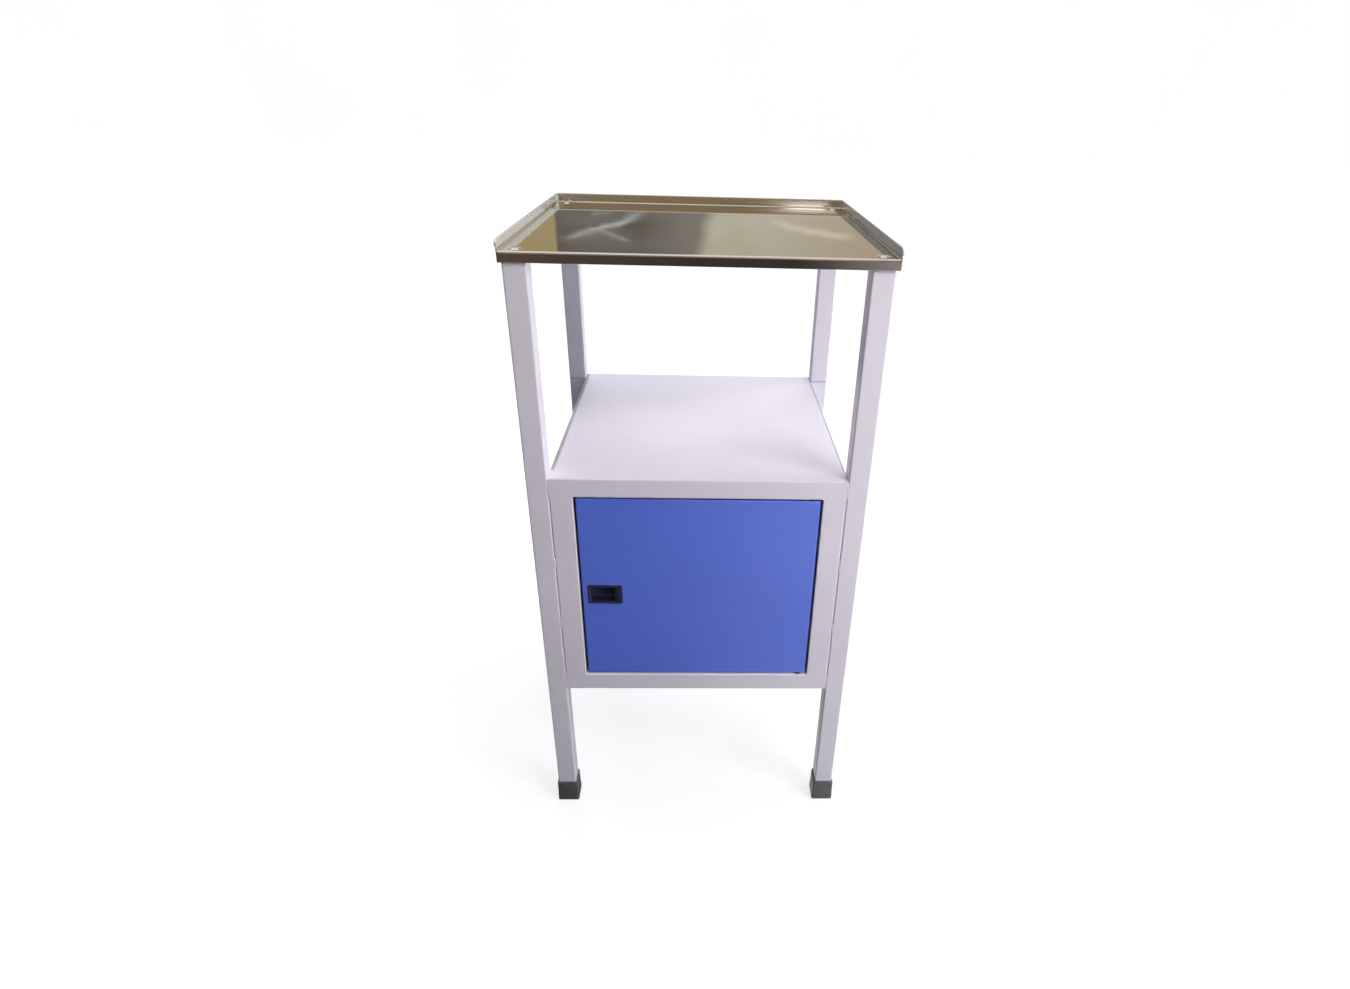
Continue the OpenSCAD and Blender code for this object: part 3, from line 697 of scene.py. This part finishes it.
def build_spot_marks():
    """Spot welds along the cabinet's rear flanges, where the back panel is joined."""
    rear, cab_x = CAB_REAR, CAB_HIGH.x
    inset = REAR_FLANGE / 2
    out, across = Vector((0, 1, 0)), Vector((1, 0, 0))
    across_back = span_steps(-0.88 * cab_x, 0.88 * cab_x, 5)
    rows = {
        "spot_marks_top": [(x, CAB_HIGH.z - inset) for x in across_back],
        "spot_marks_bottom": [(x, CAB_LOW.z + inset) for x in across_back],
    }
    low, high = CAB_LOW.z + 3 * inset, CAB_HIGH.z - 3 * inset
    for side, sx in SIDES.items():
        rows[f"spot_marks_{side}"] = [(sx * (cab_x - inset), z) for z in span_steps(low, high, 4)]
    for name, spots in rows.items():
        points, faces = [], []
        for x, z in spots:
            x += random.uniform(-2, 2) * MM
            z += random.uniform(-2, 2) * MM
            spot_mark(points, faces, Vector((x, rear, z)), out, across)
        dress(make_object(name, points, faces), "painted_steel", LOCKER)


# ---------- CAD nodes that stay ----------

# Names of the welded parts, whose edges meet their neighbours' and stay as they are
UNBROKEN = ("leg_", "bearer_", "shelf_panel", "floor_panel", "side_panel", "back_panel")


def dress_cad_nodes():
    """Every CAD node gets its slot's material, and all but the welded tube and sheet get a bevel."""
    slots = {row["node"]: row["material_slot"] for row in frame["record"]["subparts"]}
    for name, node in NODES.items():
        node.data.materials.clear()
        node.data.materials.append(MATERIALS[slots[name]])
        if name.startswith(UNBROKEN) and "plate" not in name:
            continue
        weld = node.modifiers.new("weld", "WELD")
        weld.merge_threshold = 0.005 * MM
        bevel = node.modifiers.new("edge_break", "BEVEL")
        bevel.width = 0.25 * MM
        bevel.segments = 2
        bevel.limit_method = "ANGLE"
        bevel.angle_limit = math.radians(50)
        bevel.harden_normals = True
        bevel.use_clamp_overlap = True


# ---------- stage ----------

# Glow of the backdrop and the floor, and of the cards that light or mirror in the object
BACKDROP = (1.0, 1.0, 1.0)
FLOOR_NEAR, FLOOR_FAR = 0.71, 0.88
BOUNCE = (0.050, 0.055, 0.070)
GROUND_LEFT = (0.15, 0.15, 0.17)
GROUND_RIGHT = (1.90, 1.90, 1.80)
LEFT_WALL = (0.16, 0.155, 0.14)
RIGHT_WALL = (1.10, 1.10, 1.12)
CEILING = (1.0, 0.98, 0.96)
TRAY_MIRROR = 0.82
FLANGE_MIRROR = 0.66
OLIVE = linear(156, 141, 107)
BEIGE = linear(180, 175, 161)
SAND = linear(168, 154, 135)
BROWN = linear(132, 116, 93)
# Pale streaks on the dark cupboard: start and end as (x, z) on the wall, half width and strength
CUPBOARD_STREAKS = (
    ((-0.57, 1.175), (-0.18, 1.055), 0.013, 1.00),
    ((-0.47, 1.115), (-0.26, 1.172), 0.008, 0.70),
    ((-0.45, 1.072), (-0.33, 1.060), 0.005, 0.60),
)


def card(name, corners, build, camera=False, diffuse=False, glossy=True, shadow=False):
    """A flat card of the surroundings, seen only by the kinds of ray that it is meant for."""
    mesh = bpy.data.meshes.new(name)
    mesh.from_pydata(corners, [], [(0, 1, 2, 3)])
    obj = bpy.data.objects.new(name, mesh)
    bpy.context.scene.collection.objects.link(obj)
    material = bpy.data.materials.new(name)
    build(Nodes(material))
    mesh.materials.append(material)
    obj.visible_camera = camera
    obj.visible_diffuse = diffuse
    obj.visible_glossy = glossy
    obj.visible_shadow = shadow
    obj.visible_transmission = False
    obj.visible_volume_scatter = False
    return obj


def floor_paint(n):
    """A pale floor that keeps its brightness far from the lamps."""
    x, y, _ = n.axes()
    cloud = n.noise(n.coords(), 0.8, 2.0)
    base = n.mix(cloud, (0.34, 0.34, 0.35), (0.37, 0.37, 0.38))
    glow = n.remap(n.length(x, y), 0.5, 4.0, FLOOR_NEAR, FLOOR_FAR, smooth=True)
    n.principled(
        Base_Color=base, Roughness=0.8, Specular_IOR_Level=0.1,
        Emission_Color=(0.99, 0.99, 1.0), Emission_Strength=glow,
    )


def plain_glow(colour, cloudy=0.08):
    """A paint for cards that glow evenly, with a slow cloudiness."""
    def build(n):
        cloud = n.noise(n.coords(), 0.7, 2.0)
        n.emission(n.mix(cloud, scaled(colour, 1 - cloudy), scaled(colour, 1 + cloudy)))
    return build


def streak(n, x, z, start, end, width):
    """A soft band between two places on a wall, as a factor from 0 to 1."""
    along = Vector(end) - Vector(start)
    length = along.length
    along.normalize()
    dx, dz = n.math("SUBTRACT", x, start[0]), n.math("SUBTRACT", z, start[1])
    u = n.math("ADD", n.product(dx, along[0]), n.product(dz, along[1]))
    v = n.math("SUBTRACT", n.product(dz, along[0]), n.product(dx, along[1]))
    bow = n.remap(n.noise(n.coords((5, 5, 5)), 1.0, 2.0), 0.3, 0.7, -0.6 * width, 0.6 * width)
    v = n.math("ABSOLUTE", n.math("ADD", v, bow))
    start_fade = n.remap(u, 0, 0.25 * length, smooth=True)
    end_fade = n.remap(u, length, 0.7 * length, smooth=True)
    return n.product(start_fade, end_fade, n.remap(v, width, 0.0, smooth=True))


def back_wall(n):
    """What the tray's floor mirrors: an olive strip, a dark cupboard with streaks and a beige wall."""
    x, _, z = n.axes()
    wobble = n.noise(n.coords((1.2, 1, 3.0)), 1.0, 2.0)
    lean = n.product(n.math("SUBTRACT", z, 1.12), 0.4)
    edge = n.math("ADD", n.math("ADD", x, lean), n.remap(wobble, 0.3, 0.7, -0.05, 0.05))
    cloud = n.noise(n.coords((3, 1, 10)), 1.5, 2.0)
    beige = n.mix(n.remap(x, 0.1, 0.8, smooth=True), BEIGE, SAND)
    beige = n.mix(n.remap(cloud, 0.45, 0.7, 0.0, 0.6, True), beige, linear(168, 163, 132))
    beige = n.mix(streak(n, x, z, (0.26, 1.075), (0.68, 1.145), 0.016), beige, linear(205, 194, 172))
    murk = n.noise(n.coords((2.5, 1, 14)), 1.5, 3.0)
    dark = n.mix(n.remap(murk, 0.35, 0.7), linear(93, 87, 80), linear(112, 109, 101))
    dark = n.mix(n.remap(x, -0.25, -0.05), dark, linear(121, 115, 106))
    for start, end, width, share in CUPBOARD_STREAKS:
        mask = n.product(streak(n, x, z, start, end, width), share)
        dark = n.mix(mask, dark, linear(178, 182, 176))
    low = n.mix(n.remap(edge, -0.045, 0.045, smooth=True), dark, beige)
    low = n.mix(n.remap(x, -0.588, -0.578), OLIVE, low)
    skirt = n.mix(n.remap(x, -0.06, 0.06, smooth=True), linear(157, 154, 141), (0.86, 0.92, 1.05))
    low = n.mix(n.remap(z, 0.80, 0.68, smooth=True), low, skirt)
    high = n.mix(n.remap(z, 1.30, 1.75, smooth=True), low, (1.0, 0.98, 0.95))
    n.emission(high, 1 / TRAY_MIRROR)


def front_wall(n):
    """What the rear rim and the front flange mirror: brown above, and dark lower down."""
    x, _, z = n.axes()
    dark = n.mix(n.remap(x, -0.75, 0.0), linear(80, 68, 60), linear(56, 49, 46))
    dark = n.mix(n.remap(x, 0.34, 0.88, smooth=True), dark, linear(142, 134, 138))
    murk = n.noise(n.coords((6, 1, 3)), 1.0, 2.0)
    brown = n.mix(n.remap(murk, 0.35, 0.65), scaled(BROWN, 0.85), scaled(BROWN, 1.12))
    window = streak(n, x, z, (0.36, 1.085), (0.69, 1.085), 0.075)
    brown = n.mix(window, brown, scaled(linear(250, 240, 234), 2.15))
    n.emission(n.mix(n.remap(z, 0.40, 0.45, smooth=True), dark, brown), 1 / FLANGE_MIRROR)


def ground_card(n):
    """The ground as the paint's gloss sees it: dim, and brighter towards the front right."""
    x, y, _ = n.axes()
    share = n.product(n.remap(x, -0.2, 0.35, smooth=True), n.remap(y, -0.3, -1.1, 0.7, 1.0))
    n.emission(n.mix(share, GROUND_LEFT, GROUND_RIGHT))


def surroundings():
    """A floor, a backdrop for the camera, and a dim room that only reflections can see."""
    far = 14.0
    wall = 2.5
    roof = 2.8
    under = -0.002
    card("floor", [(-far, -far, 0), (far, -far, 0), (far, far, 0), (-far, far, 0)], floor_paint,
         camera=True, glossy=False, shadow=True)
    high = 12.0
    square = [(-far, far), (far, far), (far, -far), (-far, -far)]
    for i, (x0, y0) in enumerate(square):
        x1, y1 = square[(i + 1) % 4]
        card(f"backdrop_{i + 1}", [(x0, y0, 0), (x1, y1, 0), (x1, y1, high), (x0, y0, high)],
             plain_glow(BACKDROP, cloudy=0.01), camera=True, glossy=False)
    card("backdrop_top", [(x, y, high) for x, y in square],
         plain_glow(BACKDROP, cloudy=0.01), camera=True, glossy=False)
    low = [(-wall, -wall, under), (wall, -wall, under), (wall, wall, under), (-wall, wall, under)]
    card("ground_bounce", low, plain_glow(BOUNCE), diffuse=True, glossy=False)
    card("ground_sheen", low, ground_card)
    card("wall_back",
         [(-wall, wall, under), (wall, wall, under), (wall, wall, roof), (-wall, wall, roof)], back_wall)
    card("wall_front",
         [(-wall, -wall, under), (wall, -wall, under), (wall, -wall, roof), (-wall, -wall, roof)],
         front_wall)
    card("wall_left",
         [(-wall, -wall, under), (-wall, wall, under), (-wall, wall, roof), (-wall, -wall, roof)],
         plain_glow(LEFT_WALL))
    card("wall_right",
         [(wall, -wall, under), (wall, wall, under), (wall, wall, roof), (wall, -wall, roof)],
         plain_glow(RIGHT_WALL))
    card("ceiling",
         [(-wall, -wall, roof), (wall, -wall, roof), (wall, wall, roof), (-wall, wall, roof)],
         plain_glow(CEILING))


def world_light(colour, strength):
    world = bpy.data.worlds.new("studio")
    bpy.context.scene.world = world
    world.use_nodes = True
    background = world.node_tree.nodes["Background"]
    background.inputs["Color"].default_value = (*colour, 1)
    background.inputs["Strength"].default_value = strength


def place_light(name, light, place, aim):
    lamp = bpy.data.objects.new(name, light)
    lamp.location = place
    lamp.rotation_euler = (Vector(aim) - Vector(place)).to_track_quat("-Z", "Y").to_euler()
    lamp.visible_camera = False
    lamp.visible_glossy = False
    bpy.context.scene.collection.objects.link(lamp)
    return lamp


def softbox(name, place, aim, size, power, colour=(1, 1, 1)):
    light = bpy.data.lights.new(name, "AREA")
    light.shape = "RECTANGLE"
    light.size, light.size_y = size
    light.energy = power
    light.color = colour
    return place_light(name, light, place, aim)


def overcast(name, azimuth, height, strength, spread, colour=(1, 1, 1)):
    """A very soft sun, the same all over the floor, from a direction given in degrees."""
    light = bpy.data.lights.new(name, "SUN")
    light.energy = strength
    light.angle = math.radians(spread)
    light.color = colour
    flat, up = math.radians(azimuth), math.radians(height)
    place = 3 * Vector((math.cos(up) * math.cos(flat), math.cos(up) * math.sin(flat), math.sin(up)))
    return place_light(name, light, place, (0, 0, 0))


def studio_camera():
    """The camera, in front of the locker and a little above it, turned slightly to the right."""
    place = Vector((-0.0034, -1.0550, 0.9067))
    tilt, pan, roll = math.radians(-31.01), math.radians(-2.52), math.radians(1.71)
    data = bpy.data.cameras.new("camera")
    data.sensor_width = 36.0
    data.lens = 21.45
    data.shift_x = -0.0375
    data.shift_y = 0.0580
    data.clip_start = 0.02
    camera = bpy.data.objects.new("camera", data)
    turn = (
        Matrix.Rotation(pan, 4, "Z")
        @ Matrix.Rotation(math.pi / 2 + tilt, 4, "X")
        @ Matrix.Rotation(roll, 4, "Z")
    )
    camera.matrix_world = Matrix.Translation(place) @ turn
    bpy.context.scene.collection.objects.link(camera)
    bpy.context.scene.camera = camera


def lights():
    world_light((1.0, 0.99, 1.02), 0.04)
    softbox("back_high", (0.1, 1.8, 1.75), (0, 0, 0.5), (2.0, 0.8), 36, (0.98, 0.98, 1.02))
    softbox("front_top", (0.05, -1.4, 1.6), (0, -0.2, 0.6), (0.8, 0.6), 4.6, (1.0, 0.94, 0.86))
    softbox("front_right", (1.0, -1.1, 1.5), (0, -0.2, 0.6), (0.8, 0.6), 12.5, (1.0, 0.95, 0.85))
    softbox("fill_right", (1.35, -1.0, 0.5), (0, -0.1, 0.5), (0.8, 0.8), 12, (0.98, 0.98, 1.03))
    softbox("fill_left", (-1.5, 0.1, 0.6), (0, 0, 0.45), (0.9, 0.9), 3.5, (0.98, 0.98, 1.0))
    overcast("sky", 0, 90, 0.53, 50, (0.96, 1.0, 1.12))
    overcast("window_right", 10, 28, 1.45, 35, (0.99, 0.985, 1.05))
    overcast("window_front", -50, 35, 0.16, 35, (0.98, 0.98, 1.03))


def main():
    bpy.context.scene.view_settings.view_transform = "Standard"
    dress_cad_nodes()
    build_tray()
    build_pull()
    for side in SIDES:
        for end in ENDS:
            build_shoe(f"shoe_{end}_{side}")
    build_welds()
    build_spot_marks()
    surroundings()
    lights()
    studio_camera()


main()
